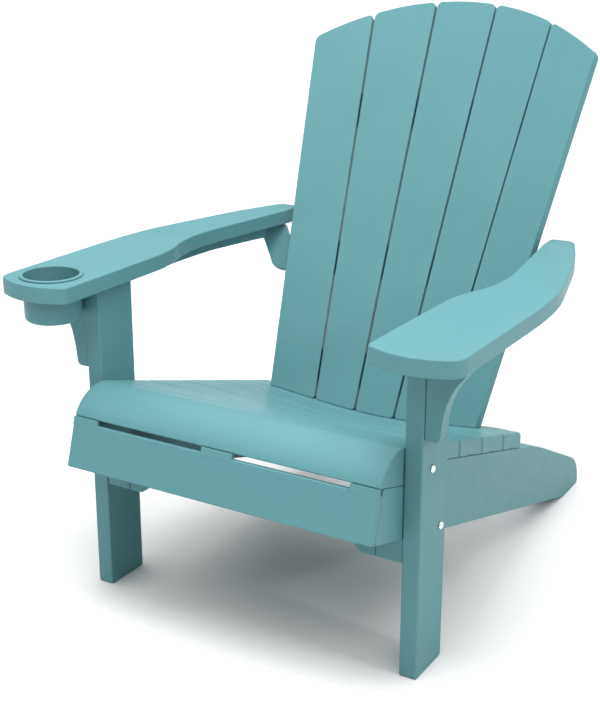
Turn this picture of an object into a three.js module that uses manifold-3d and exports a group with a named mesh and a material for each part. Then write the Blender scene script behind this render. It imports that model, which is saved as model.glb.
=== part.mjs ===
// Adirondack chair in moulded resin: a sloping slatted seat on two long stringers that are also the
// rear legs, two upright front legs, a fanned and hollowed back of five slats, and wide arms, one of
// them with a drop-in cup holder. Units are millimetres. While the parts are shaped, x = 0 is the
// plane of symmetry, y = 0 is the front face of the front legs (the chair faces -y) and z = 0 is the
// floor. The finished group is moved along y so that its origin is the middle of its footprint.
// "left" is the side at -x, which is on the left of somebody looking at the front of the chair.

import * as THREE from 'three';
import { mergeVertices } from 'three/addons/utils/BufferGeometryUtils.js';
import Module from 'manifold-3d';

const wasm = await Module();
wasm.setup();

// ---------------------------------------------------------------- driving dimensions

const FIT_GAP = 0.3; // between two faces that touch
const FOOTPRINT_MIDDLE_Y = 366.55;

const LEG = { inner: 284.3, width: 30, depth: 89 };

const ARM = { top: 571, thickness: 28 };
const ARM_UNDERSIDE = ARM.top - ARM.thickness;

// The seat surface falls towards the rear, and the rear slats are scooped in their middle.
const SEAT = { frontHeight: 386, slope: 0.304, board: 16, endBlock: 30, rear: 496 };
const SCOOP = { depth: 20, start: 85, full: 430, halfWidth: 235, falloff: 1.6 };
const SEAT_JOINTS = [27, 115, 211, 308, 407, SEAT.rear]; // where one seat slat ends and the next begins
const SEAM = 0.8; // half of the seam between two seat slats
const NOTCH = { radius: 5, depth: 7, setback: 8, drop: 1 }; // drain notch under a slat's end block

// Half the width over the stringers, which close in slightly towards the rear.
const SIDE = { halfWidth: 283.7, toeIn: 0.0195 };
const STRINGER = { width: 45, lowerLine: 235, lowerSlope: 0.307, lug: 193 };

// The front board leans back; the nose of the front seat slat hangs over it.
const APRON = { bottom: [-101, 266], top: [-78.6, 339], thickness: 14 };
const TABS = [[-SIDE.halfWidth, -235], [-29, 29], [235, SIDE.halfWidth]]; // spacers up to the nose
const NOSE = { tip: [-74.5, 346.8], start: [6, 384.2], upper: [-18, 392], lower: [-60, 378] };

// The back leans away from the sitter and is hollow across: each slat edge is a straight line between
// two levels, and at each level the edges lie on a parabola.
const BACK = { low: 239, high: 940, lowY: 443, highY: 781.5, lowCurve: 0.00075, highCurve: 0.00057 };
const SLAT_THICKNESS = 18;
const SLAT_EDGES = [ // left and right edge of each slat, at the low level and at the high one
  { low: [-213.5, -126], high: [-293.6, -186.4] },
  { low: [-122.6, -43.2], high: [-183, -63.6] },
  { low: [-39.4, 39.4], high: [-59.8, 59.8] },
  { low: [43.2, 122.6], high: [63.6, 183] },
  { low: [126, 213.5], high: [186.4, 293.6] },
];
const SLAT_FOOT = 205; // below the seat's surface, where the slats are cut to stand on it
const CROWN = { top: 966, radius: 620 }; // the arc along the tops of the slats
// Stations across a slat, and how far its top is below the crown there, which rounds its corners.
const SLAT_TOP = [
  [0, 7], [0.02, 2.5], [0.07, 0], [0.3, 0], [0.5, 0], [0.7, 0], [0.93, 0], [0.98, 2.5], [1, 7],
];
const RAIL = { thickness: 20, height: 60, gap: 0.4 };
const RAIL_LEVELS = { upper: 760, arm: 490, lower: 296 }; // the height of the middle of each front face
const RAIL_ENDS = { upper: 0.86, lower: 0.8 }; // how far each reaches across the outermost slats

const GUSSET = { depth: 24, setback: 3, bottom: 402, width: 24 };
const ARM_RAIL = { height: 21, width: 25, rear: 520.5 };
const FRONT_RAIL = { y: 3, depth: 18, top: 284, arch: 228, foot: 18, sweep: 40, archStart: 82 };

const CUP = { x: -341, y: -47, radius: 48, wall: 2.4, rim: 52.3, rimHeight: 3.2, bottom: 497 };
const CUP_HOLE = { clearance: 0.5, sides: 48 };

const BOLT = { radius: 3, head: 6.6, headHeight: 4, clearance: 0.3, stickOut: 11 };
const BOLT_POINTS = { upper: [33.7, 346.5], lower: [69.8, 238.5] }; // y and z on the leg's outer face
const NUT = { corner: 5.8, thickness: 5 };
const SCREW = { radius: 2, head: 4.6, headHeight: 2.6, grip: 12, clearance: 0.3 };

const COLOURS = { resin: 0x78b4b8, steel: 0xc3c8ca };

// ---------------------------------------------------------------- making solids

const chair = new THREE.Group();
chair.position.y = -FOOTPRINT_MIDDLE_Y;

function addPiece(name, geometry, kind = 'resin') {
  const metal = kind === 'steel';
  const material = new THREE.MeshStandardMaterial({
    color: COLOURS[kind],
    roughness: metal ? 0.3 : 0.5,
    metalness: metal ? 1 : 0,
  });
  const mesh = new THREE.Mesh(geometry, material);
  mesh.name = name;
  chair.add(mesh);
}

function toSolid(geometry) {
  const bare = geometry.clone();
  bare.deleteAttribute('normal');
  bare.deleteAttribute('uv');
  const merged = mergeVertices(bare, 1e-4);
  return new wasm.Manifold(new wasm.Mesh({
    numProp: 3,
    vertProperties: new Float32Array(merged.attributes.position.array),
    triVerts: new Uint32Array(merged.index.array),
  }));
}

function toGeometry(solid) {
  const mesh = solid.getMesh();
  const geometry = new THREE.BufferGeometry();
  geometry.setAttribute('position', new THREE.BufferAttribute(mesh.vertProperties, 3));
  geometry.setIndex(new THREE.BufferAttribute(mesh.triVerts, 1));
  geometry.computeVertexNormals();
  return geometry;
}

function cut(geometry, ...tools) {
  let solid = toSolid(geometry);
  for (const tool of tools) solid = solid.subtract(toSolid(tool));
  return toGeometry(solid);
}

function join(geometry, ...others) {
  let solid = toSolid(geometry);
  for (const other of others) solid = solid.add(toSolid(other));
  return toGeometry(solid);
}

// The six-fold volume of a triangle list, which is negative when its faces point inwards.
function signedVolume(points, triangles) {
  let total = 0;
  for (let i = 0; i < triangles.length; i += 3) {
    const [a, b, c] = triangles.slice(i, i + 3).map((k) => points[k]);
    total += a.dot(b.clone().cross(c));
  }
  return total;
}

// A closed solid through rings of equally many points, all going the same way round. The end faces
// are fans round the ring's middle.
function loft(rings) {
  const count = rings[0].length;
  const points = rings.flat();
  const triangles = [];
  for (let r = 0; r < rings.length - 1; r++) {
    for (let i = 0; i < count; i++) {
      const a = r * count + i;
      const b = r * count + (i + 1) % count;
      triangles.push(a, b, b + count, a, b + count, a + count);
    }
  }
  const lastRing = (rings.length - 1) * count;
  const middles = [rings[0], rings.at(-1)].map((ring) => {
    const sum = ring.reduce((total, p) => total.add(p), new THREE.Vector3());
    return points.push(sum.divideScalar(count)) - 1;
  });
  for (let i = 0; i < count; i++) {
    const next = (i + 1) % count;
    triangles.push(middles[0], next, i);
    triangles.push(middles[1], lastRing + i, lastRing + next);
  }
  if (signedVolume(points, triangles) < 0) triangles.reverse();
  const geometry = new THREE.BufferGeometry().setFromPoints(points);
  geometry.setIndex(triangles);
  geometry.computeVertexNormals();
  return geometry;
}

// A closed outline through [x, y] points.
function polygon(corners) {
  return new THREE.Shape(corners.map((p) => new THREE.Vector2(...p)));
}

// A slab of an outline from z = 0 up to the given height.
function slab(shape, height, curveSegments = 8) {
  return new THREE.ExtrudeGeometry(shape, { depth: height, bevelEnabled: false, curveSegments });
}

// A slab whose outline is drawn in y and z and which runs from x = 0 to the given width.
function sideSlab(shape, width) {
  const turn = new THREE.Matrix4().makeBasis(
    new THREE.Vector3(0, 1, 0), new THREE.Vector3(0, 0, 1), new THREE.Vector3(1, 0, 0));
  return slab(shape, width).applyMatrix4(turn);
}

// A slab whose outline is drawn in x and z and which runs from y = 0 to the given depth.
function frontSlab(shape, depth) {
  return slab(shape, depth).rotateX(Math.PI / 2).translate(0, depth, 0);
}

function mirrored(geometry) {
  const copy = geometry.index ? geometry.toNonIndexed() : geometry.clone();
  const position = copy.attributes.position;
  for (let i = 0; i < position.count; i += 3) {
    const corners = [0, 2, 1].map((k) => new THREE.Vector3().fromBufferAttribute(position, i + k));
    corners.forEach((p, k) => position.setXYZ(i + k, -p.x, p.y, p.z));
  }
  copy.computeVertexNormals();
  return copy;
}

// A rod along the direction from a point, used for holes.
function rod(radius, length, from, direction, sides) {
  const geometry = new THREE.CylinderGeometry(radius, radius, length, sides).translate(0, length / 2, 0);
  return place(geometry, from, direction);
}

// Turns a piece made along +y so that it runs along the direction, starting from the point.
function place(geometry, from, direction) {
  const turn = new THREE.Quaternion().setFromUnitVectors(new THREE.Vector3(0, 1, 0), direction);
  return geometry.applyQuaternion(turn).translate(from.x, from.y, from.z);
}

// A domed head and its shank, with the underside of the head at y = 0 and the shank along +y.
function domedScrew(size, length, sides) {
  const profile = [[0, -size.headHeight]];
  for (const turn of [0.25, 0.5, 0.75]) {
    const angle = turn * Math.PI / 2;
    profile.push([size.head * Math.sin(angle), -size.headHeight * Math.cos(angle)]);
  }
  profile.push([size.head, -0.6], [size.head, 0], [size.radius, 0], [size.radius, length], [0, length]);
  return new THREE.LatheGeometry(profile.map(([r, h]) => new THREE.Vector2(r, h)), sides);
}

// ---------------------------------------------------------------- the surfaces that pieces share

function sideAt(y) {
  return SIDE.halfWidth - SIDE.toeIn * Math.max(y, 0);
}

function seatPlane(y) {
  return SEAT.frontHeight - SEAT.slope * y;
}

function seatSurface(x, y) {
  const along = THREE.MathUtils.clamp((y - SCOOP.start) / (SCOOP.full - SCOOP.start), 0, 1);
  const across = Math.max(0, 1 - (x / SCOOP.halfWidth) ** 2) ** SCOOP.falloff;
  return seatPlane(y) - SCOOP.depth * Math.sin(along * Math.PI / 2) * across;
}

function noseUnderside(y) {
  return NOSE.tip[1] - SEAT.slope * (y - NOSE.tip[0]);
}

// The line down the middle of a flat slat's front, the slat's width at both ends of that line, and the
// level direction across it.
function slatFace(slat) {
  const low = slat.low.map((x) => new THREE.Vector3(x, BACK.lowY - BACK.lowCurve * x * x, BACK.low));
  const high = slat.high.map((x) => new THREE.Vector3(x, BACK.highY - BACK.highCurve * x * x, BACK.high));
  const across = low[1].clone().sub(low[0]).normalize();
  across.add(high[1].clone().sub(high[0]).normalize()).normalize();
  const widths = [low, high].map(([left, right]) => left.distanceTo(right));
  return { bottom: low[0].lerp(low[1], 0.5), top: high[0].lerp(high[1], 0.5), across, widths };
}

// A point on the front of a slat, at a fraction of its width and a height.
function slatPoint(slat, fraction, z) {
  const { bottom, top, across, widths } = slatFace(slat);
  const level = (z - BACK.low) / (BACK.high - BACK.low);
  const width = THREE.MathUtils.lerp(...widths, level);
  return bottom.lerp(top, level).addScaledVector(across, (fraction - 0.5) * width);
}

function slatNormal(slat) {
  const { bottom, top, across } = slatFace(slat);
  return top.sub(bottom).cross(across).normalize(); // points away from the sitter
}

function crownHeight(x) {
  return CROWN.top - CROWN.radius + Math.sqrt(CROWN.radius ** 2 - x * x);
}

// ---------------------------------------------------------------- front legs and their bolts

function makeBolt(y, z) {
  const reach = LEG.width + STRINGER.width + BOLT.stickOut;
  const from = new THREE.Vector3(LEG.inner + LEG.width + FIT_GAP, y, z);
  return place(domedScrew(BOLT, reach, 20), from, new THREE.Vector3(-1, 0, 0));
}

function boltHole(y, z) {
  const outside = 20;
  const length = outside + LEG.width + STRINGER.width + outside;
  const from = new THREE.Vector3(LEG.inner + LEG.width + outside, y, z);
  return rod(BOLT.radius + BOLT.clearance, length, from, new THREE.Vector3(-1, 0, 0), 20);
}

function makeNut(y, z) {
  const hexagon = new THREE.Shape();
  for (let i = 0; i < 6; i++) {
    const angle = i * Math.PI / 3;
    const corner = [NUT.corner * Math.cos(angle), NUT.corner * Math.sin(angle)];
    if (i === 0) hexagon.moveTo(...corner);
    else hexagon.lineTo(...corner);
  }
  hexagon.holes.push(new THREE.Path().absarc(0, 0, BOLT.radius + BOLT.clearance, 0, 2 * Math.PI, true));
  const inner = sideAt(y) - STRINGER.width - 2 * FIT_GAP - NUT.thickness;
  return sideSlab(hexagon, NUT.thickness).translate(inner, y, z);
}

const boltHoles = Object.values(BOLT_POINTS).map(([y, z]) => boltHole(y, z));

function makeLeg() {
  const outline = polygon([[0, 0], [LEG.width, 0], [LEG.width, LEG.depth], [0, LEG.depth]]);
  const post = slab(outline, ARM_UNDERSIDE - FIT_GAP).translate(LEG.inner, 0, 0);
  return cut(post, ...boltHoles);
}

// ---------------------------------------------------------------- stringers, front board, front rail

// The front board's rear face, moved back by a distance.
function apronRear(point, distance) {
  const upwards = new THREE.Vector2(...APRON.top).sub(new THREE.Vector2(...APRON.bottom)).normalize();
  return [point[0] + upwards.y * distance, point[1] - upwards.x * distance];
}

function makeStringer() {
  const lower = (y) => STRINGER.lowerLine - STRINGER.lowerSlope * y;
  const lugRear = (STRINGER.lowerLine - STRINGER.lug) / STRINGER.lowerSlope;
  const toeFront = STRINGER.lowerLine / STRINGER.lowerSlope;
  const frontBottom = apronRear(APRON.bottom, APRON.thickness + FIT_GAP);
  const frontTop = apronRear(APRON.top, APRON.thickness + FIT_GAP);
  const underNose = (y) => noseUnderside(y) - FIT_GAP;
  const underBoard = (y) => seatPlane(y) - SEAT.board - FIT_GAP;
  const underBlock = (y) => seatPlane(y) - SEAT.endBlock - FIT_GAP;
  const [noseEnd, boardEnd] = SEAT_JOINTS;
  const bend = 575;
  const outline = new THREE.Shape();
  outline.moveTo(...frontBottom);
  outline.lineTo(2.5, lower(2.5));
  outline.lineTo(2.5, STRINGER.lug);
  outline.lineTo(lugRear, STRINGER.lug);
  outline.lineTo(toeFront, 0);
  outline.lineTo(843, 0);
  outline.quadraticCurveTo(848, 0, 848, 8);
  outline.quadraticCurveTo(845, 53, 797, 75.5);
  outline.lineTo(bend + 40, 162.5);
  outline.quadraticCurveTo(bend, underBlock(bend), bend - 55, underBlock(bend - 55));
  outline.lineTo(boardEnd - SEAM, underBlock(boardEnd - SEAM));
  outline.lineTo(boardEnd - SEAM, underBoard(boardEnd - SEAM));
  outline.lineTo(noseEnd + SEAM, underBoard(noseEnd + SEAM));
  outline.lineTo(noseEnd + SEAM, underNose(noseEnd + SEAM));
  outline.lineTo(frontTop[0] + 2, underNose(frontTop[0] + 2));
  outline.lineTo(...frontTop);
  const solid = sideSlab(outline, STRINGER.width).translate(-STRINGER.width, 0, 0);
  solid.applyMatrix4(new THREE.Matrix4().makeShear(0, 0, -SIDE.toeIn, 0, 0, 0));
  solid.translate(SIDE.halfWidth, 0, 0);
  const trim = 20; // in front of the leg the side runs straight on, flush with the front board's end
  const proud = new THREE.BoxGeometry(trim, 200, 200).translate(SIDE.halfWidth + trim / 2, -100, 300);
  return cut(solid, proud, ...boltHoles);
}

function makeApron() {
  const half = sideAt(-90);
  const rearBottom = apronRear(APRON.bottom, APRON.thickness);
  const rearTop = apronRear(APRON.top, APRON.thickness);
  const profile = polygon([APRON.bottom, rearBottom, rearTop, APRON.top]);
  const board = sideSlab(profile, 2 * half).translate(-half, 0, 0);
  const tabTop = (y) => noseUnderside(y) - FIT_GAP;
  const [tabFront, tabRear, sunk] = [APRON.top[0] + 2.2, rearTop[0] - 4, 6];
  const tabProfile = polygon([
    [tabFront, APRON.top[1] - sunk], [tabRear, rearTop[1] - sunk], [tabRear, tabTop(tabRear)],
    [tabFront, tabTop(tabFront)],
  ]);
  const tabs = TABS.map(([from, to]) => sideSlab(tabProfile, to - from).translate(from, 0, 0));
  return join(board, ...tabs);
}

// The rail between the stringers behind the front board, with its underside arched.
function makeFrontRail() {
  const { y, depth, top, arch, foot, sweep, archStart } = FRONT_RAIL;
  const low = STRINGER.lug;
  const end = sideAt(y + depth) - STRINGER.width - 2 * FIT_GAP;
  const outline = new THREE.Shape();
  outline.moveTo(-end, low);
  outline.lineTo(-end + foot, low);
  outline.bezierCurveTo(-end + sweep, low, -end + sweep, arch, -end + archStart, arch);
  outline.lineTo(end - archStart, arch);
  outline.bezierCurveTo(end - sweep, arch, end - sweep, low, end - foot, low);
  outline.lineTo(end, low);
  outline.lineTo(end, top);
  outline.lineTo(-end, top);
  return frontSlab(outline, depth).translate(0, y, 0);
}

// ---------------------------------------------------------------- seat slats

// A ring round a seat slat, from one y to another, at a fraction of the seat's half width.
function seatRing(fraction, from, to, thickness) {
  const along = [0, 0.25, 0.5, 0.75, 1].map((t) => THREE.MathUtils.lerp(from, to, t));
  const corners = [...along.map((y) => [y, 0]), ...along.reverse().map((y) => [y, thickness])];
  return corners.map(([y, drop]) => {
    const x = fraction * sideAt(y);
    return new THREE.Vector3(x, y, seatSurface(x, y) - drop);
  });
}

function seatFractions(blockStart) {
  const inner = [0, 0.1, 0.2, 0.3, 0.4, 0.5, 0.6, 0.7, 0.77, 0.82];
  const outer = [blockStart - 0.002, blockStart, 1];
  const right = [...inner, ...outer];
  return [...right.slice(1).reverse().map((f) => -f), ...right];
}

function makeSeatSlat(index) {
  const from = SEAT_JOINTS[index] + SEAM;
  const to = SEAT_JOINTS[index + 1] - (index === SEAT_JOINTS.length - 2 ? 0 : SEAM);
  const hasBlocks = index > 0; // the first slat behind the nose lies between the legs, without blocks
  const blockStart = (sideAt(to) - STRINGER.width) / sideAt(to);
  const rings = seatFractions(blockStart).map((fraction) => {
    const overStringer = hasBlocks && Math.abs(fraction) >= blockStart;
    return seatRing(fraction, from, to, overStringer ? SEAT.endBlock : SEAT.board);
  });
  const slat = loft(rings);
  if (!hasBlocks) return slat;
  const notchY = (from + to) / 2 - NOTCH.setback;
  const notchZ = seatPlane(notchY) - SEAT.endBlock - NOTCH.drop;
  const outside = 5;
  const notches = [-1, 1].map((side) => {
    const start = new THREE.Vector3(side * (sideAt(notchY) + outside), notchY, notchZ);
    return rod(NOTCH.radius, NOTCH.depth + outside, start, new THREE.Vector3(-side, 0, 0), 12);
  });
  return cut(slat, ...notches);
}

function makeSeatNose() {
  const to = SEAT_JOINTS[0] - SEAM;
  const curve = new THREE.CubicBezierCurve(
    ...[NOSE.start, NOSE.upper, NOSE.lower, NOSE.tip].map((p) => new THREE.Vector2(...p)));
  const upper = curve.getPoints(12).map((p) => [p.x, p.y]);
  const outline = [...upper, [to, noseUnderside(to)], [to, seatPlane(to)]];
  return loft([-1, 1].map((side) => outline.map(([y, z]) => new THREE.Vector3(side * sideAt(y), y, z))));
}

// ---------------------------------------------------------------- back slats

// The seat under the back as a solid, for cutting the slats so that they stand on it.
function underSeat() {
  const along = [380, 410, 440, 480, 520];
  const deep = 100;
  const flatFrom = 1 - STRINGER.width / SIDE.halfWidth;
  return loft(seatFractions(flatFrom).map((fraction) => {
    const upper = along.map((y) => {
      const x = fraction * sideAt(y);
      return new THREE.Vector3(x, y, seatSurface(x, y) + FIT_GAP);
    });
    const [front, rear] = [upper[0], upper.at(-1)].map((p) => new THREE.Vector3(p.x, p.y, deep));
    return [...upper, rear, front];
  }));
}

// Screws run from the rear of each rail through it into each slat. A point behind a slat is lower
// than the one it is level with on the slat's front, because the back leans.
const screwPlaces = [];
for (const [rail, z] of Object.entries(RAIL_LEVELS)) {
  SLAT_EDGES.forEach((slat, i) => {
    const inwards = slatNormal(slat).negate();
    const back = SLAT_THICKNESS + RAIL.gap + RAIL.thickness + FIT_GAP;
    const from = slatPoint(slat, 0.5, z + inwards.z * back / 2).addScaledVector(inwards, -back);
    screwPlaces.push({ rail, slat, number: i + 1, inwards, from });
  });
}

function screwHole({ from, inwards }) {
  const outside = 5;
  const spare = 2; // beyond the screw's tip
  const length = outside + RAIL.thickness + SCREW.grip + spare;
  const start = from.clone().addScaledVector(inwards, -outside);
  return rod(SCREW.radius + SCREW.clearance, length, start, inwards, 10);
}

function makeBackSlat(slat) {
  const normal = slatNormal(slat);
  const rings = SLAT_TOP.map(([fraction, drop]) => {
    const top = crownHeight(THREE.MathUtils.lerp(...slat.high, fraction)) - drop;
    const front = [SLAT_FOOT, top].map((z) => slatPoint(slat, fraction, z));
    const rear = front.map((p) => p.clone().addScaledVector(normal, SLAT_THICKNESS)).reverse();
    return [...front, ...rear];
  });
  const holes = screwPlaces.filter((place) => place.slat === slat).map(screwHole);
  return cut(loft(rings), underSeat(), ...holes);
}

// ---------------------------------------------------------------- back rails

// A ring round a rail that lies against a slat's rear face or the plane that the face lies in. The
// bottom and top are heights on the rail's front face, and the place across is a function from a
// height to a fraction of the slat's width.
function railRing(slat, fractionAt, bottom, top) {
  const normal = slatNormal(slat);
  const front = SLAT_THICKNESS + RAIL.gap;
  const lift = -normal.z * front; // the slat's front is this much higher than the point behind it
  const section = [[0, bottom], [0, top], [RAIL.thickness, top], [RAIL.thickness, bottom]];
  return section.map(([depth, height]) => {
    const z = height + lift;
    return slatPoint(slat, fractionAt(z), z).addScaledVector(normal, front + depth);
  });
}

function wholeRail(rightHalf) {
  const leftHalf = rightHalf.map((ring) => ring.map((p) => new THREE.Vector3(-p.x, p.y, p.z))).reverse();
  return [...leftHalf, ...rightHalf];
}

// The rings of a rail's right half across the slats, out to a fraction of the outermost slat.
function rightRings(z, endFraction) {
  const [middle, inner, outer] = SLAT_EDGES.slice(2);
  const places = [[middle, 1], [inner, 0], [inner, 1], [outer, 0], [outer, endFraction]];
  const [bottom, top] = [z - RAIL.height / 2, z + RAIL.height / 2];
  return places.map(([slat, fraction]) => railRing(slat, () => fraction, bottom, top));
}

// The rail at arm height flares outwards and upwards past the slats to carry the arms' rear ends.
const FLARE = [ // x, height of the lower edge, height of the upper edge before it meets the arm
  [257, 460.6, 527], [267, 464, 541], [275, 470, 556], [283, 484, 562], [294, 501, 562], [306, 518, 562],
  [314, 529.5, 562],
];

function makeRail(name) {
  const rings = rightRings(RAIL_LEVELS[name], RAIL_ENDS[name] ?? 1);
  if (name === 'arm') {
    const outer = SLAT_EDGES[4];
    for (const [x, bottom, top] of FLARE) {
      const fractionAt = (z) => {
        const [left, right] = [0, 1].map((side) => slatPoint(outer, side, z).x);
        return (x - left) / (right - left);
      };
      rings.push(railRing(outer, fractionAt, bottom, top));
    }
  }
  const holes = screwPlaces.filter((place) => place.rail === name).map(screwHole);
  const clear = { width: 900, depth: 300, height: 60 }; // the space that the arms lie in
  const underArms = ARM_UNDERSIDE - FIT_GAP;
  const space = new THREE.BoxGeometry(clear.width, clear.depth, clear.height)
    .translate(0, ARM_RAIL.rear, underArms + clear.height / 2);
  const tools = name === 'arm' ? [space, ...holes] : holes;
  return cut(loft(wholeRail(rings)), ...tools);
}

function makeScrew({ from, inwards }) {
  const length = RAIL.thickness + SCREW.grip;
  return place(domedScrew(SCREW, length, 12), from, inwards);
}

// ---------------------------------------------------------------- arms and what hangs under them

// The right arm seen from above: a broad paddle at the front that steps in and tapers to the rear.
function armOutline() {
  const outline = new THREE.Shape();
  outline.moveTo(269, -86);
  outline.quadraticCurveTo(269, -99, 282, -102);
  outline.quadraticCurveTo(338, -128, 392, -101.5);
  outline.quadraticCurveTo(411, -94, 411.5, -70);
  outline.lineTo(411.5, 190);
  outline.splineThru([[404, 286], [380, 392], [348, 509], [316, 595]].map((p) => new THREE.Vector2(...p)));
  outline.quadraticCurveTo(310, 611, 298, 611);
  outline.lineTo(277, 611);
  outline.quadraticCurveTo(266, 611, 266, 600);
  outline.lineTo(267, 568);
  outline.splineThru([[281, 485], [293, 405], [300, 340], [300.5, 290], [292, 243], [279, 205], [271, 160]]
    .map((p) => new THREE.Vector2(...p)));
  outline.lineTo(269, 0);
  return outline;
}

function makeArm() {
  return slab(armOutline(), ARM.thickness).translate(0, 0, ARM_UNDERSIDE);
}

function makeLeftArm() {
  const radius = CUP.radius + CUP_HOLE.clearance;
  const below = new THREE.Vector3(CUP.x, CUP.y, ARM_UNDERSIDE - ARM.thickness);
  const hole = rod(radius, 3 * ARM.thickness, below, new THREE.Vector3(0, 0, 1), CUP_HOLE.sides);
  return cut(mirrored(makeArm()), hole);
}

function makeCupHolder() {
  const { radius, wall, rim, bottom } = CUP;
  const seat = ARM.top + FIT_GAP;
  const top = ARM.top + CUP.rimHeight;
  const profile = [
    [0, bottom], [radius - 10, bottom], [radius - 4, bottom + 2.2], [radius - 1.4, bottom + 8],
    [radius, seat], [rim - 0.4, seat], [rim, seat + 1], [rim - 1, top - 0.6], [rim - 2.6, top],
    [radius - 1.4, top - 0.4], [radius - wall, top - 3], [radius - wall - 1.4, bottom + 9],
    [radius - wall - 4.5, bottom + 4], [radius - 12, bottom + wall], [0, bottom + wall],
  ];
  const points = profile.map(([r, z]) => new THREE.Vector2(r, z));
  return new THREE.LatheGeometry(points, CUP_HOLE.sides).rotateX(Math.PI / 2).translate(CUP.x, CUP.y, 0);
}

// The plate under the front of an arm, against the leg's outer face, with a hollow outer edge.
function makeFrontGusset() {
  const inner = LEG.inner + LEG.width + FIT_GAP;
  const outer = inner + GUSSET.width;
  const { bottom } = GUSSET;
  const top = ARM_UNDERSIDE - FIT_GAP;
  const outline = new THREE.Shape();
  outline.moveTo(inner, top);
  outline.lineTo(inner, bottom);
  outline.lineTo(outer - 9, bottom);
  outline.quadraticCurveTo(outer, bottom, outer + 1, bottom + 10);
  outline.bezierCurveTo(outer + 4, bottom + 50, outer + 12, bottom + 80, 372, 506);
  outline.quadraticCurveTo(382, 520, 399, top);
  return frontSlab(outline, GUSSET.depth).translate(0, GUSSET.setback, 0);
}

// The rib under an arm, from behind the front leg to the rail that carries the arm's rear end.
function makeArmRail() {
  const inner = [[318, 89.5], [321, 150], [324, 215], [325, 290], [321, 373], [311, 426], [300, 476],
    [288, ARM_RAIL.rear]];
  const outline = new THREE.Shape();
  outline.moveTo(...inner[0]);
  outline.splineThru(inner.slice(1).map((p) => new THREE.Vector2(...p)));
  outline.lineTo(inner.at(-1)[0] + ARM_RAIL.width, ARM_RAIL.rear);
  const outer = inner.map(([x, y]) => [x + ARM_RAIL.width, y]).reverse();
  outline.splineThru(outer.slice(1).map((p) => new THREE.Vector2(...p)));
  const bottom = ARM_UNDERSIDE - FIT_GAP - ARM_RAIL.height;
  return slab(outline, ARM_RAIL.height, 4).translate(0, 0, bottom);
}

// ---------------------------------------------------------------- the chair

const pairs = {
  front_leg: makeLeg(),
  stringer: makeStringer(),
  front_gusset: makeFrontGusset(),
  arm_rail: makeArmRail(),
};
for (const [level, point] of Object.entries(BOLT_POINTS)) {
  pairs[`leg_bolt_${level}`] = makeBolt(...point);
  pairs[`leg_nut_${level}`] = makeNut(...point);
}
for (const [name, geometry] of Object.entries(pairs)) {
  const kind = /bolt|nut/.test(name) ? 'steel' : 'resin';
  addPiece(`${name}_right`, geometry, kind);
  addPiece(`${name}_left`, mirrored(geometry), kind);
}

addPiece('front_board', makeApron());
addPiece('front_rail', makeFrontRail());
addPiece('seat_nose', makeSeatNose());
SEAT_JOINTS.slice(1).forEach((_, i) => addPiece(`seat_slat_${i + 1}`, makeSeatSlat(i)));
SLAT_EDGES.forEach((slat, i) => addPiece(`back_slat_${i + 1}`, makeBackSlat(slat)));
for (const rail of Object.keys(RAIL_LEVELS)) addPiece(`back_rail_${rail}`, makeRail(rail));
for (const screw of screwPlaces) {
  addPiece(`back_screw_${screw.rail}_${screw.number}`, makeScrew(screw), 'steel');
}
addPiece('arm_right', makeArm());
addPiece('arm_left', makeLeftArm());
addPiece('cup_holder', makeCupHolder());

export default chair;
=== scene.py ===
"""An adirondack chair in teal moulded resin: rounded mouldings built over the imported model.

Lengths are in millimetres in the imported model's frame, and become metres when a mesh is made.
Left is the side at -X.
"""

import math

import bmesh
import bpy
from mathutils import Matrix, Vector
from mathutils.geometry import interpolate_bezier


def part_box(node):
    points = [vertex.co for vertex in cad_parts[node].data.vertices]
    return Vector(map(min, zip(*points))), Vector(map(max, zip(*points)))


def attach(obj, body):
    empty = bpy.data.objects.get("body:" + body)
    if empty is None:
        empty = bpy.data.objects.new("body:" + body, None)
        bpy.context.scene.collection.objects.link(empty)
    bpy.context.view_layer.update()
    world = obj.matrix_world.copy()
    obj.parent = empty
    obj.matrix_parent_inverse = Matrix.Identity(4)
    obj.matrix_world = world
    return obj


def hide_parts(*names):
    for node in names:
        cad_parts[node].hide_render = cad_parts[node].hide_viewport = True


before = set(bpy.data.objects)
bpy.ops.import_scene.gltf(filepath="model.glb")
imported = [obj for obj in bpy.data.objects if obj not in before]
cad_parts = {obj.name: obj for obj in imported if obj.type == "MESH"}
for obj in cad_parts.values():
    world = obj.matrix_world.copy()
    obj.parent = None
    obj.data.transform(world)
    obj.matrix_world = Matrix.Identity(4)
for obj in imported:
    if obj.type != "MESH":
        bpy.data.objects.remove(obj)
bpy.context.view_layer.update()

MM = 0.001
RIM = 3.0                      # rounding along the edges of a board
RIM_STEPS = 4
CORNER_STEPS = 6
PROFILE_STEPS = 5
SHARP = math.radians(28)       # an outline that turns more than this at a point has a corner there
STRAIGHT = math.radians(0.4)   # and one that turns less than this is straight there
CURVE_SPACING = 4.0            # between the points added along a curve
BOARD_SPACING = 70.0           # between the cuts across a long board

X, Y, Z = Vector((1, 0, 0)), Vector((0, 1, 0)), Vector((0, 0, 1))


# ---------------------------------------------------------------- reading shapes from the frame

def node_mesh(node):
    """The node's mesh in millimetres, with its shared corners merged."""
    mesh = bmesh.new()
    mesh.from_mesh(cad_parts[node].data)
    bmesh.ops.scale(mesh, vec=(1 / MM,) * 3, verts=mesh.verts)
    bmesh.ops.remove_doubles(mesh, verts=mesh.verts, dist=0.01)
    mesh.normal_update()
    return mesh


def box_mm(node):
    low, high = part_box(node)
    return low / MM, high / MM


def perimeter(points):
    return sum((a - b).length for a, b in zip(points, points[1:] + points[:1]))


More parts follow.
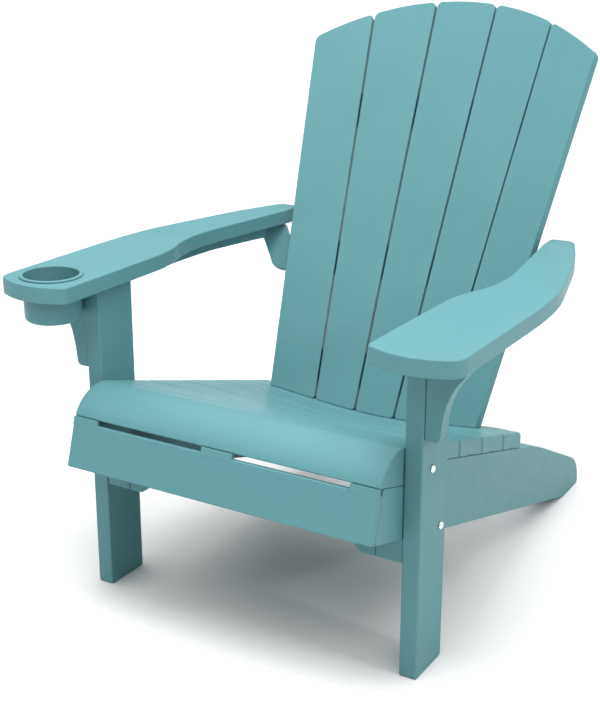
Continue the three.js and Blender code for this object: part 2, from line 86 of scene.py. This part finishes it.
def side_rims(node, direction, least_cosine=0.99):
    """The rims of the node's side that faces the direction, the longest first."""
    mesh = node_mesh(node)
    # A dict keeps the faces in the mesh's order, so that a rim starts at the same corner on each run.
    side = dict.fromkeys(face for face in mesh.faces if face.normal.dot(direction) > least_cosine)
    following = {}
    for face in side:
        for loop in face.loops:
            if not any(other in side for other in loop.edge.link_faces if other != face):
                following[loop.vert] = loop.link_loop_next.vert
    rims = []
    while following:
        here = next(iter(following))
        rim = []
        while here in following:
            rim.append(here.co.copy())
            here = following.pop(here)
        rims.append(rim)
    mesh.free()
    return sorted(rims, key=perimeter, reverse=True)


def largest_side(node, direction):
    """The direction that the node's largest face on that side really faces."""
    mesh = node_mesh(node)
    facing = [face for face in mesh.faces if face.normal.dot(direction) > 0.7]
    normal = max(facing, key=lambda face: face.calc_area()).normal.copy()
    mesh.free()
    return normal


def depth_along(node, direction):
    mesh = node_mesh(node)
    reaches = [vert.co.dot(direction) for vert in mesh.verts]
    mesh.free()
    return max(reaches) - min(reaches)


# ---------------------------------------------------------------- outlines

def turn_at(points, i):
    """How far an outline turns at a point, in radians."""
    i %= len(points)
    before = points[i] - points[i - 1]
    after = points[(i + 1) % len(points)] - points[i]
    return before.angle(after, 0)


def without_straights(points):
    return [p for i, p in enumerate(points) if turn_at(points, i) > STRAIGHT]


def smooth_curves(points):
    """Adds points along the curved stretches of an outline, and leaves its straight sides straight."""
    longer = 2.2      # a side this many times as long as one beside it is a straight one
    count = len(points)
    smooth = []
    for i, here in enumerate(points):
        smooth.append(here)
        after = points[(i + 1) % count]
        beside = (here - points[i - 1]).length, (points[(i + 2) % count] - after).length
        steps = int((after - here).length / CURVE_SPACING)
        turns = turn_at(points, i), turn_at(points, i + 1)
        is_straight = (after - here).length > longer * min(beside)
        if steps < 2 or is_straight or max(turns) > SHARP:
            continue
        along = (after - here).normalized()
        start = ((here - points[i - 1]).normalized() + along).normalized()
        end = ((points[(i + 2) % count] - after).normalized() + along).normalized()
        reach = (after - here).length / 3
        curve = interpolate_bezier(here, here + start * reach, after - end * reach, after, steps + 1)
        smooth.extend(curve[1:-1])
    return smooth


def round_corners(points, radius):
    """Replaces each corner of an outline by an arc, as large as its sides leave room for."""
    share = 0.48      # of a side, that the arc at one end of it may take
    count = len(points)
    rounded = []
    for i, here in enumerate(points):
        turn = turn_at(points, i)
        if turn < SHARP:
            rounded.append(here)
            continue
        before, after = points[i - 1] - here, points[(i + 1) % count] - here
        reach = min(radius * math.tan(turn / 2), share * before.length, share * after.length)
        arc_radius = reach / math.tan(turn / 2)
        inwards = (before.normalized() + after.normalized()).normalized()
        centre = here + inwards * math.hypot(reach, arc_radius)
        start = here + before.normalized() * reach - centre
        end = here + after.normalized() * reach - centre
        for step in range(CORNER_STEPS + 1):
            rounded.append(centre + start.slerp(end, step / CORNER_STEPS) * arc_radius)
    return rounded


def inset(points, normal, distance):
    """An outline that goes anticlockwise round the normal, moved inwards by a distance."""
    sharpest = 0.2    # keeps a very sharp corner from moving far
    moved = []
    for i, here in enumerate(points):
        before = normal.cross(here - points[i - 1]).normalized()
        after = normal.cross(points[(i + 1) % len(points)] - here).normalized()
        moved.append(here + (before + after) * distance / max(1 + before.dot(after), sharpest))
    return moved


# ---------------------------------------------------------------- meshes

def keep_flat(piece):
    """Shades the large flat faces as flat, so that only the rounded rims turn the light."""
    piece.modifiers.new("flat faces stay flat", "WEIGHTED_NORMAL").weight = 80


def new_object(name, mesh):
    """Turns a mesh in millimetres into a smooth-shaded object in metres."""
    bmesh.ops.recalc_face_normals(mesh, faces=mesh.faces)
    bmesh.ops.scale(mesh, vec=(MM,) * 3, verts=mesh.verts)
    data = bpy.data.meshes.new(name)
    mesh.to_mesh(data)
    mesh.free()
    data.polygons.foreach_set("use_smooth", [True] * len(data.polygons))
    made = bpy.data.objects.new(name, data)
    bpy.context.scene.collection.objects.link(made)
    return made


def make_piece(name, mesh, material, replaced):
    """Turns a mesh in millimetres into a piece of the chair."""
    piece = new_object(name, mesh)
    piece.data.materials.append(material)
    keep_flat(piece)
    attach(piece, "root")
    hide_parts(*replaced)
    return piece


def bridge(mesh, rings):
    """Quads between rings of equally many corners."""
    rows = [[mesh.verts.new(p) for p in ring] for ring in rings]
    for low, high in zip(rows, rows[1:]):
        for i in range(len(low)):
            j = (i + 1) % len(low)
            mesh.faces.new((low[i], low[j], high[j], high[i]))
    return rows


def loft(rings):
    """A closed mesh through rings, with a flat face on each end."""
    mesh = bmesh.new()
    rows = bridge(mesh, rings)
    mesh.faces.new(reversed(rows[0]))
    mesh.faces.new(rows[-1])
    return mesh


def rim_steps(radius):
    """How far in and how far down each step of a rounded rim is, from the face to the side."""
    angles = [math.pi / 2 * step / RIM_STEPS for step in range(RIM_STEPS + 1)]
    return [(radius * (1 - math.sin(a)), radius * (1 - math.cos(a))) for a in angles]


def slab_rings(rim, normal, along, thickness, radius):
    upper = rim_steps(radius)
    lower = [(inwards, thickness - down) for inwards, down in reversed(upper)]
    return [[p + along * down for p in inset(rim, normal, inwards)] for inwards, down in upper + lower]


def slab(rim, normal, along, thickness, radius, holes=()):
    """A board with rounded edges: its outline, the way its face looks and the way its depth runs."""
    if not holes:
        return loft(slab_rings(rim, normal, along, thickness, radius))
    mesh = bmesh.new()
    for outline in (rim, *holes):
        bridge(mesh, slab_rings(outline, normal, along, thickness, radius))
    open_edges = [edge for edge in mesh.edges if edge.is_boundary]
    level = sum((edge.verts[0].co.dot(along) for edge in open_edges)) / len(open_edges)
    for below in (False, True):
        side = [edge for edge in open_edges if (edge.verts[0].co.dot(along) > level) == below]
        bmesh.ops.triangle_fill(mesh, edges=side, use_beauty=True, use_dissolve=False)
    return mesh


def divide(mesh):
    """Cuts the faces of a long board crossways, so that none of them is a long sliver."""
    lows = [min(vert.co[axis] for vert in mesh.verts) for axis in range(3)]
    highs = [max(vert.co[axis] for vert in mesh.verts) for axis in range(3)]
    extents = [high - low for low, high in zip(lows, highs)]
    axis = extents.index(max(extents))
    count = int(extents[axis] / BOARD_SPACING) + 1
    for i in range(1, count):
        level = lows[axis] + extents[axis] * i / count
        place = Vector([level if a == axis else 0 for a in range(3)])
        whole = mesh.verts[:] + mesh.edges[:] + mesh.faces[:]
        bmesh.ops.bisect_plane(mesh, geom=whole, dist=0.01, plane_co=place, plane_no=(X, Y, Z)[axis])
    return mesh


def outline_of(node, direction, corner):
    rim = without_straights(side_rims(node, direction)[0])
    return round_corners(smooth_curves(rim), corner)


def lathe(profile, steps):
    """A body of revolution about Z through radii and heights; a radius of 0 is a point on the axis."""
    mesh = bmesh.new()
    rows = []
    for radius, height in profile:
        if radius == 0:
            rows.append([mesh.verts.new((0, 0, height))])
            continue
        angles = [2 * math.pi * i / steps for i in range(steps)]
        rows.append([mesh.verts.new((radius * math.cos(a), radius * math.sin(a), height)) for a in angles])
    for low, high in zip(rows, rows[1:]):
        for i in range(steps):
            j = (i + 1) % steps
            corners = [low[i % len(low)], low[j % len(low)], high[j % len(high)], high[i % len(high)]]
            mesh.faces.new(list(dict.fromkeys(corners)))
    return mesh


def round_profile(points, radii):
    """A profile of radii and heights with its corners rounded."""
    rounded = []
    for i, (point, radius) in enumerate(zip(points, radii)):
        here = Vector(point)
        if radius == 0:
            rounded.append(here)
            continue
        before, after = Vector(points[i - 1]) - here, Vector(points[i + 1]) - here
        start, end = here + before.normalized() * radius, here + after.normalized() * radius
        for step in range(PROFILE_STEPS + 1):
            t = step / PROFILE_STEPS
            rounded.append(start.lerp(here, t).lerp(here.lerp(end, t), t))
    return rounded


def place_along(mesh, point, direction):
    """Moves a mesh made along +Z so that its Z runs along the direction from the point."""
    turn = direction.to_track_quat("Z", "Y").to_matrix().to_4x4()
    mesh.transform(Matrix.Translation(point) @ turn)


def apply_boolean(piece, mesh, operation):
    """Cuts a piece with a mesh in millimetres, or joins the mesh to it."""
    tool = new_object("tool", mesh)
    piece.modifiers.clear()
    modifier = piece.modifiers.new("boolean", "BOOLEAN")
    modifier.operation = operation
    modifier.solver = "EXACT"
    modifier.object = tool
    bpy.context.view_layer.update()
    evaluated = piece.evaluated_get(bpy.context.evaluated_depsgraph_get())
    piece.modifiers.clear()
    merged = bpy.data.meshes.new_from_object(evaluated)
    piece.data = merged
    bpy.data.objects.remove(tool)
    keep_flat(piece)


# ---------------------------------------------------------------- materials

def shader(name):
    material = bpy.data.materials.new(name)
    material.use_nodes = True
    nodes, links = material.node_tree.nodes, material.node_tree.links
    nodes.clear()
    surface = nodes.new("ShaderNodeBsdfPrincipled")
    output = nodes.new("ShaderNodeOutputMaterial")
    links.new(surface.outputs["BSDF"], output.inputs["Surface"])
    place = nodes.new("ShaderNodeTexCoord")
    return material, nodes, links, surface, place.outputs["Object"]


def noise(nodes, links, place, scale, detail, roughness=0.5):
    node = nodes.new("ShaderNodeTexNoise")
    node.inputs["Scale"].default_value = scale
    node.inputs["Detail"].default_value = detail
    node.inputs["Roughness"].default_value = roughness
    links.new(place, node.inputs["Vector"])
    return node.outputs["Fac"]


def map_range(nodes, links, value, source, target):
    """Maps a value from one range to another, and holds it at the ends of the range."""
    node = nodes.new("ShaderNodeMapRange")
    for name, number in zip(("From Min", "From Max", "To Min", "To Max"), (*source, *target)):
        node.inputs[name].default_value = number
    links.new(value, node.inputs["Value"])
    return node


def spread(nodes, links, value, low, high):
    """Maps the middle of a noise to a range."""
    return map_range(nodes, links, value, (0.3, 0.7), (low, high)).outputs["Result"]


def bump(nodes, links, surface, layers):
    """Stacks bumps, each from a height, a distance in metres and a strength."""
    normal = None
    for height, distance, strength in layers:
        node = nodes.new("ShaderNodeBump")
        node.inputs["Distance"].default_value = distance
        node.inputs["Strength"].default_value = strength
        links.new(height, node.inputs["Height"])
        if normal:
            links.new(normal, node.inputs["Normal"])
        normal = node.outputs["Normal"]
    links.new(normal, surface.inputs["Normal"])


def resin(name, dark, light, roughness):
    """Satin moulded resin: a faint cloudiness in the colour and a fine spark-eroded grain."""
    material, nodes, links, surface, place = shader(name)
    mix = nodes.new("ShaderNodeMix")
    mix.data_type = "RGBA"
    mix.inputs["A"].default_value = (*dark, 1)
    mix.inputs["B"].default_value = (*light, 1)
    clouds = noise(nodes, links, place, scale=9, detail=5)
    links.new(spread(nodes, links, clouds, 0, 1), mix.inputs["Factor"])
    links.new(mix.outputs["Result"], surface.inputs["Base Color"])
    smudges = noise(nodes, links, place, scale=35, detail=3)
    low, high = roughness
    links.new(spread(nodes, links, smudges, low, high), surface.inputs["Roughness"])
    surface.inputs["Specular IOR Level"].default_value = 0.12
    grain = noise(nodes, links, place, scale=1400, detail=2)
    ripple = noise(nodes, links, place, scale=45, detail=2)
    bump(nodes, links, surface, [(grain, 0.0002, 0.2), (ripple, 0.0006, 0.04)])
    return material


def bright_steel():
    """Plated steel with faint tumbling marks."""
    material, nodes, links, surface, place = shader("bright_steel")
    surface.inputs["Base Color"].default_value = (0.74, 0.75, 0.76, 1)
    surface.inputs["Metallic"].default_value = 1.0
    marks = noise(nodes, links, place, scale=700, detail=4, roughness=0.7)
    links.new(spread(nodes, links, marks, 0.2, 0.36), surface.inputs["Roughness"])
    bump(nodes, links, surface, [(marks, 0.00005, 0.3)])
    return material


TEAL_DARK, TEAL_LIGHT = (0.079, 0.207, 0.221), (0.083, 0.216, 0.230)
teal = resin("teal_resin", TEAL_DARK, TEAL_LIGHT, (0.38, 0.45))
teal_smooth = resin("teal_resin_smooth", TEAL_DARK, TEAL_LIGHT, (0.30, 0.38))
steel = bright_steel()


def resin_piece(node, mesh):
    return make_piece(node + "_moulding", mesh, teal, [node])


# ---------------------------------------------------------------- legs, stringers, arms and gussets

STRINGER_WIDTH = 45.0
ARM_CORNER, ARM_RIM = 10.0, 2.5


def resin_board(node, direction, corner, radius=RIM, thickness=None):
    """The node as a board with its own outline on the side that faces the direction."""
    rim = outline_of(node, direction, corner)
    thickness = thickness or depth_along(node, direction)
    return resin_piece(node, divide(slab(rim, direction, -direction, thickness, radius)))


def make_left_arm():
    """The arm with the hole for the cup holder."""
    node = "arm_left"
    rim = outline_of(node, Z, ARM_CORNER)
    hole = smooth_curves(side_rims(node, Z)[1])
    resin_piece(node, divide(slab(rim, Z, -Z, depth_along(node, Z), ARM_RIM, [hole])))


for side, outwards in (("left", -X), ("right", X)):
    resin_board(f"front_leg_{side}", outwards, corner=4.0)
    resin_board(f"stringer_{side}", outwards, corner=4.0, radius=1.4, thickness=STRINGER_WIDTH)
    resin_board(f"front_gusset_{side}", -Y, corner=4.0, radius=1.5)
    resin_board(f"arm_rail_{side}", -Z, corner=3.0, radius=2.0)
resin_board("front_rail", -Y, corner=4.0, radius=2.0)
resin_board("arm_right", Z, ARM_CORNER, ARM_RIM)
make_left_arm()


# ---------------------------------------------------------------- back slats

for number in range(1, 6):
    node = f"back_slat_{number}"
    resin_board(node, largest_side(node, -Y), corner=8.0, radius=1.8)


# ---------------------------------------------------------------- back rails

RAIL_THICKNESS, RAIL_HEIGHT, RAIL_GAP = 20.0, 60.0, 0.4
RAIL_LEVELS = {"upper": 760, "arm": 490, "lower": 296}     # the middle of each front face
RAIL_ENDS = {"upper": 0.86, "arm": 1.0, "lower": 0.8}     # how far across the outermost slat
FLARE = [  # x, lower edge and upper edge, where the arm rail rises to the arm
    (257, 460.6, 527), (262, 462, 534), (267, 464, 542.5), (271, 467, 542.5), (275, 470, 542.5),
    (283, 484, 542.5), (289, 492.5, 542.5), (294, 501, 542.5), (300, 509.5, 542.5), (306, 518, 542.5),
    (314, 529.5, 542.5),
]


class BackSlat:
    """The plane and the long edges of a back slat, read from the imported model."""

    def __init__(self, number):
        node = f"back_slat_{number}"
        self.normal = -largest_side(node, -Y)
        self.thickness = depth_along(node, self.normal)
        rim = without_straights(side_rims(node, -self.normal)[0])
        edges = sorted(zip(rim, rim[1:] + rim[:1]), key=lambda e: (e[0] - e[1]).length)[-2:]
        edges = [sorted(edge, key=lambda p: p.z) for edge in edges]
        self.edges = sorted(edges, key=lambda edge: edge[0].x)

    def point(self, fraction, z, depth=0.0):
        left, right = [low.lerp(high, (z - low.z) / (high.z - low.z)) for low, high in self.edges]
        return left.lerp(right, fraction) + self.normal * depth

    def fraction_at(self, x, z):
        left, right = self.point(0, z).x, self.point(1, z).x
        return (x - left) / (right - left)


slats = [BackSlat(number) for number in range(1, 6)]


def rounded_section(depth, low, high, radius):
    """The rim of a rectangle with rounded corners, as depths and heights."""
    corners = [Vector((0, low)), Vector((0, high)), Vector((depth, high)), Vector((depth, low))]
    steps = [math.pi / 2 * step / RIM_STEPS for step in range(RIM_STEPS + 1)]
    rim = []
    for i, corner in enumerate(corners):
        before = (corners[i - 1] - corner).normalized()
        after = (corners[(i + 1) % 4] - corner).normalized()
        centre = corner + (before + after) * radius
        rim.extend(centre - after * radius * math.cos(a) - before * radius * math.sin(a) for a in steps)
    return rim


def rail_ring(slat, fraction_at, low, high, ceiling, shrink=0.0):
    """A ring round a rail behind a slat. Its place across is a function of its height."""
    front = slat.thickness + RAIL_GAP
    lift = -slat.normal.z * front
    ring = []
    for depth, height in rounded_section(RAIL_THICKNESS - 2 * shrink, low + shrink, high - shrink, RIM):
        z = height + lift
        point = slat.point(fraction_at(z), z, front + shrink + depth)
        point.z = min(point.z, ceiling)
        ring.append(point)
    return ring


def make_rail(name):
    node = f"back_rail_{name}"
    outer_width = 90.0     # of the outermost slat, near enough for the rounding of a rail's end
    low = RAIL_LEVELS[name] - RAIL_HEIGHT / 2
    high = RAIL_LEVELS[name] + RAIL_HEIGHT / 2
    ceiling = box_mm(node)[1].z
    middle, inner, outer = slats[2:]
    last = RAIL_ENDS[name]
    across = [(middle, f) for f in (0.6, 0.8, 1)] + [(inner, f) for f in (0, 0.25, 0.5, 0.75, 1)]
    across += [(outer, last * f) for f in (0, 0.25, 0.5, 0.75, 1)]
    half = [rail_ring(slat, lambda z, f=fraction: f, low, high, ceiling) for slat, fraction in across]
    if name == "arm":
        for x, bottom, top in FLARE:
            half.append(rail_ring(outer, lambda z, x=x: outer.fraction_at(x, z), bottom, top, ceiling))
    else:
        half.pop()
        for inwards, shrink in ((RIM, 0), (RIM / 3, RIM / 3), (0, RIM)):
            fraction = last - inwards / outer_width
            half.append(rail_ring(outer, lambda z, f=fraction: f, low, high, ceiling, shrink))
    mirrored_half = [[Vector((-p.x, p.y, p.z)) for p in ring] for ring in reversed(half)]
    resin_piece(node, loft(mirrored_half + half))


for rail_name in RAIL_LEVELS:
    make_rail(rail_name)


# ---------------------------------------------------------------- seat

LEG_FRONT = box_mm("front_leg_left")[0].y     # the seat's surface is worked out from this line
SEAT_HEIGHT, SEAT_SLOPE = 386.0, 0.304
SCOOP_DEPTH, SCOOP_START, SCOOP_FULL = 20.0, 85.0, 430.0
SCOOP_HALF_WIDTH, SCOOP_FALLOFF = 235.0, 1.6
HALF_WIDTH, TOE_IN = 283.7, 0.0195
BOARD_THICKNESS, BLOCK_THICKNESS = 16.0, 30.0
SEAM_RIM = 4.2
UNDER_RIM = 0.3                # the rounding below a slat's end, as a share of the one above it
NOTCH_RADIUS, NOTCH_DEPTH, NOTCH_SETBACK, NOTCH_DROP = 5.0, 22.0, 8.0, 1.0
TAB_LONGEST, TAB_DEPTH = 100.0, 14.0          # the tabs on the front board's top edge


def side_at(y):
    return HALF_WIDTH - TOE_IN * max(y - LEG_FRONT, 0)


def seat_height(x, y):
    y -= LEG_FRONT
    along = min(max((y - SCOOP_START) / (SCOOP_FULL - SCOOP_START), 0), 1)
    across = max(0, 1 - (x / SCOOP_HALF_WIDTH) ** 2) ** SCOOP_FALLOFF
    return SEAT_HEIGHT - SEAT_SLOPE * y - SCOOP_DEPTH * math.sin(along * math.pi / 2) * across


def seat_ring(x_at, low_y, high_y, thickness, shrink=0.0):
    """A ring round a seat slat, over its top and back below. Its place across is a function of y."""
    bevel = 2.0            # along each lower edge, and half as high
    front, rear = low_y + shrink, high_y - shrink
    rise = rim_steps(SEAM_RIM)[::-1]
    flat = [low_y + (high_y - low_y) * t for t in (0.2, 0.35, 0.5, 0.65, 0.8)]
    top = [(front + i, down) for i, down in rise] + [(y, 0) for y in flat]
    top += [(rear - i, down) for i, down in reversed(rise)]
    bottom = [(rear, bevel / 2), (rear - bevel, 0)] + [(y, 0) for y in reversed(flat)]
    bottom += [(front + bevel, 0), (front, bevel / 2)]
    ring = []
    for y, down in top:
        ring.append(Vector((x_at(y), y, seat_height(x_at(y), y) - down - shrink)))
    for y, up in bottom:
        ring.append(Vector((x_at(y), y, seat_height(x_at(y), y) - thickness + up + UNDER_RIM * shrink)))
    return ring


def make_seat_slat(number):
    """A seat slat: rings from the middle out to its thick end block, which slat 1 does not have."""
    low, high = box_mm(f"seat_slat_{number}")
    block = side_at(high.y) - STRINGER_WIDTH
    steps, step_in = 22, 1.0     # the board's rings end this far before the block's first one
    half = []
    for step in range(1, steps + 1):
        x = (block - step_in) * step / steps
        half.append(seat_ring(lambda y, x=x: x, low.y, high.y, BOARD_THICKNESS))
    outer = BLOCK_THICKNESS if number > 1 else BOARD_THICKNESS
    half.append(seat_ring(lambda y: block, low.y, high.y, outer))
    for shrink, inwards in reversed(rim_steps(SEAM_RIM)):
        half.append(seat_ring(lambda y, d=inwards: side_at(y) - d, low.y, high.y, outer, shrink))
    centre = [seat_ring(lambda y: 0, low.y, high.y, BOARD_THICKNESS)]
    mirrored_half = [[Vector((-p.x, p.y, p.z)) for p in ring] for ring in reversed(half)]
    return loft(mirrored_half + centre + half)


def cut_notches(piece, number):
    """The drain notch under each end block of a seat slat."""
    low, high = box_mm(f"seat_slat_{number}")
    spare = 5.0            # how far the cutter reaches out past the slat's end
    length = NOTCH_DEPTH + spare
    y = (low.y + high.y) / 2 - NOTCH_SETBACK
    level = seat_height(HALF_WIDTH, y) - BLOCK_THICKNESS - NOTCH_DROP
    for side in (-X, X):
        start = Vector((side.x * (side_at(y) + spare), y, level))
        notch = lathe([(0, 0), (NOTCH_RADIUS, 0), (NOTCH_RADIUS, length), (0, length)], steps=32)
        place_along(notch, start, -side)
        apply_boolean(piece, notch, "DIFFERENCE")


for number in range(1, 6):
    seat_slat = resin_piece(f"seat_slat_{number}", make_seat_slat(number))
    if number > 1:
        cut_notches(seat_slat, number)


# The rounded front slat is the outline of its side, lofted from end to end.
nose_side = outline_of("seat_nose", X, corner=2.2)
resin_piece("seat_nose", slab(nose_side, X, -X, 2 * HALF_WIDTH, radius=2.0))


def make_front_board():
    """The leaning board, and the tabs on its top edge that reach up to the nose."""
    node = "front_board"
    facing = largest_side(node, -Y)
    up = facing.cross(X)
    piece = resin_board(node, facing, corner=3.0, radius=2.5)
    for rim in side_rims(node, up, least_cosine=0.9995):
        if max(p.x for p in rim) - min(p.x for p in rim) < TAB_LONGEST:
            tab = slab(round_corners(rim, radius=1.0), up, -up, TAB_DEPTH, radius=0.8)
            apply_boolean(piece, tab, "UNION")


make_front_board()


# ---------------------------------------------------------------- cup holder

def make_cup_holder():
    """The drop-in cup: its outside up to the lip that rests on the arm, and down its inside."""
    low, high = box_mm("cup_holder")
    centre = (low + high) / 2
    lip, taper, wall, gap = 4.3, 1.2, 2.4, 0.3
    rim = (high.x - low.x) / 2
    body = rim - lip
    seat = box_mm("arm_left")[1].z + gap
    profile = [
        (0, low.z), (body - taper, low.z), (body, seat), (rim, seat),
        (rim, high.z), (body - wall, high.z), (body - wall - taper, low.z + wall), (0, low.z + wall),
    ]
    mesh = lathe(round_profile(profile, radii=[0, 8, 0.5, 0.8, 2.2, 1.6, 6, 0]), steps=96)
    bmesh.ops.translate(mesh, vec=(centre.x, centre.y, 0), verts=mesh.verts)
    make_piece("cup_holder_moulding", mesh, teal_smooth, ["cup_holder"])


make_cup_holder()


# ---------------------------------------------------------------- fasteners

def dome(radius, height, skirt):
    """The profile of a domed head, from the top of the dome down to its seat."""
    steps = 8
    bevel = 0.25
    points = [(0, height)]
    for step in range(1, steps + 1):
        a = math.pi / 2 * step / steps
        points.append((radius * math.sin(a), skirt + (height - skirt) * math.cos(a)))
    return points + [(radius, bevel), (radius - bevel, 0)]


def make_bolt(node, outwards):
    """A bolt with a domed head on the leg's outer face."""
    low, high = box_mm(node)
    middle = (low + high) / 2
    head, head_height = (high.y - low.y) / 2, 4.0
    shank, bevel = 3.0, 0.6
    seat = (high.x if outwards.x > 0 else low.x) - head_height * outwards.x
    length = high.x - low.x - head_height
    profile = dome(head, head_height, skirt=1.0)
    profile += [(shank, 0), (shank, -length + bevel), (shank - bevel, -length), (0, -length)]
    mesh = lathe(profile, steps=40)
    place_along(mesh, Vector((seat, middle.y, middle.z)), outwards)
    make_piece(node + "_steel", mesh, steel, [node])


def make_nut(node):
    """A hexagon nut with its bore along X."""
    low, high = box_mm(node)
    middle = (low + high) / 2
    thickness = high.x - low.x
    corner, bore = (high.y - low.y) / 2, 3.3
    flank = corner - 0.6
    bevel = 0.5
    section = [(bore, 0), (flank, 0), (corner, bevel), (corner, thickness - bevel), (flank, thickness),
               (bore, thickness)]
    angles = [math.pi / 3 * i for i in range(6)]
    rings = [[Vector((r * math.cos(a), r * math.sin(a), height)) for a in angles] for r, height in section]
    mesh = bmesh.new()
    rows = bridge(mesh, rings)
    for i in range(6):
        j = (i + 1) % 6
        mesh.faces.new((rows[-1][i], rows[-1][j], rows[0][j], rows[0][i]))
    place_along(mesh, Vector((low.x, middle.y, middle.z)), X)
    make_piece(node + "_steel", mesh, steel, [node])


for side, outwards in (("left", -X), ("right", X)):
    for level in ("upper", "lower"):
        make_bolt(f"leg_bolt_{level}_{side}", outwards)
        make_nut(f"leg_nut_{level}_{side}")


def cross_recess():
    """The cutter for a screw's cross recess: a cross that narrows downwards."""
    rings = []
    for height, reach, half in ((-1.4, 1.1, 0.4), (1.0, 2.6, 0.6)):
        arm = [Vector((reach, -half, height)), Vector((reach, half, height)), Vector((half, half, height))]
        turns = [Matrix.Rotation(math.pi / 2 * quarter, 3, "Z") for quarter in range(4)]
        rings.append([turn @ p for turn in turns for p in arm])
    return loft(rings)


def make_back_screw(rail, number):
    """A pan-head screw through a rail into a slat."""
    node = f"back_screw_{rail}_{number}"
    slat = slats[number - 1]
    mesh = node_mesh(node)
    outermost = max(vert.co.dot(slat.normal) for vert in mesh.verts)
    on_axis = [vert.co for vert in mesh.verts if vert.co.dot(slat.normal) > outermost - 0.01]
    tip = sum(on_axis, Vector()) / len(on_axis)
    mesh.free()
    head_height, head = 2.6, 4.6
    shank, point, blunt, length = 2.0, 2.0, 0.4, 32.0
    profile = dome(head, head_height, skirt=0.9)
    profile += [(shank, 0), (shank, -length + point), (blunt, -length), (0, -length)]
    mesh = lathe(profile, steps=32)
    place_along(mesh, tip - slat.normal * head_height, slat.normal)
    piece = make_piece(node + "_steel", mesh, steel, [node])
    recess = cross_recess()
    place_along(recess, tip, slat.normal)
    apply_boolean(piece, recess, "DIFFERENCE")


for rail_name in RAIL_LEVELS:
    for number in range(1, 6):
        make_back_screw(rail_name, number)


# ---------------------------------------------------------------- room, light and camera

def make_floor():
    mesh = bmesh.new()
    bmesh.ops.create_grid(mesh, x_segments=1, y_segments=1, size=30)
    data = bpy.data.meshes.new("floor")
    mesh.to_mesh(data)
    mesh.free()
    floor = bpy.data.objects.new("floor", data)
    bpy.context.scene.collection.objects.link(floor)
    material, nodes, links, surface, place = shader("floor")
    mix = nodes.new("ShaderNodeMix")
    mix.data_type = "RGBA"
    mix.inputs["A"].default_value = (0.655, 0.655, 0.655, 1)
    mix.inputs["B"].default_value = (0.67, 0.67, 0.67, 1)
    links.new(noise(nodes, links, place, scale=3, detail=2), mix.inputs["Factor"])
    links.new(mix.outputs["Result"], surface.inputs["Base Color"])
    surface.inputs["Roughness"].default_value = 0.8
    surface.inputs["Specular IOR Level"].default_value = 0.1
    data.materials.append(material)


def add_light(name, place, size, power):
    """A round lamp that faces the middle of the chair."""
    middle = Vector((0, 0, 0.4))
    lamp = bpy.data.lights.new(name, "AREA")
    lamp.shape = "DISK"
    lamp.size = size
    lamp.energy = power
    light = bpy.data.objects.new(name, lamp)
    light.location = place
    light.rotation_euler = (middle - Vector(place)).to_track_quat("-Z", "Y").to_euler()
    bpy.context.scene.collection.objects.link(light)


def light_room():
    """A white dome that is bright overhead and along the horizon and dim between, and two lamps."""
    world = bpy.data.worlds.new("studio")
    world.use_nodes = True
    nodes, links = world.node_tree.nodes, world.node_tree.links
    place = nodes.new("ShaderNodeTexCoord")
    split = nodes.new("ShaderNodeSeparateXYZ")
    links.new(place.outputs["Generated"], split.inputs["Vector"])
    overhead = map_range(nodes, links, split.outputs["Z"], (0.1, 1.0), (0.04, 2.75))
    overhead.interpolation_type = "SMOOTHSTEP"
    horizon = map_range(nodes, links, split.outputs["Z"], (0.06, 0.08), (1.02, 0.0))
    brighter = nodes.new("ShaderNodeMath")
    brighter.operation = "MAXIMUM"
    links.new(overhead.outputs["Result"], brighter.inputs[0])
    links.new(horizon.outputs["Result"], brighter.inputs[1])
    links.new(brighter.outputs["Value"], nodes["Background"].inputs["Strength"])
    nodes["Background"].inputs["Color"].default_value = (1, 1, 1, 1)
    bpy.context.scene.world = world
    add_light("key", (0.3, -0.95, 3.2), size=1.4, power=62)
    add_light("rim", (2.7, -0.5, 1.7), size=0.3, power=14)
    bpy.context.scene.view_settings.view_transform = "Standard"


def add_camera():
    """The camera stands to the chair's front right, a little above its arms."""
    leg_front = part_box("front_leg_left")[0].y
    azimuth, elevation, distance = math.radians(31.16), math.radians(18.87), 2.013
    target = Vector((0.1043, leg_front, 0.496))
    level = Vector((math.sin(azimuth), -math.cos(azimuth), 0))
    back = level * math.cos(elevation) + Z * math.sin(elevation)
    lens = bpy.data.cameras.new("camera")
    lens.lens = 67.22
    lens.sensor_width = 36
    camera = bpy.data.objects.new("camera", lens)
    camera.location = target + back * distance
    camera.rotation_euler = back.to_track_quat("Z", "Y").to_euler()
    bpy.context.scene.collection.objects.link(camera)
    bpy.context.scene.camera = camera


make_floor()
light_room()
add_camera()
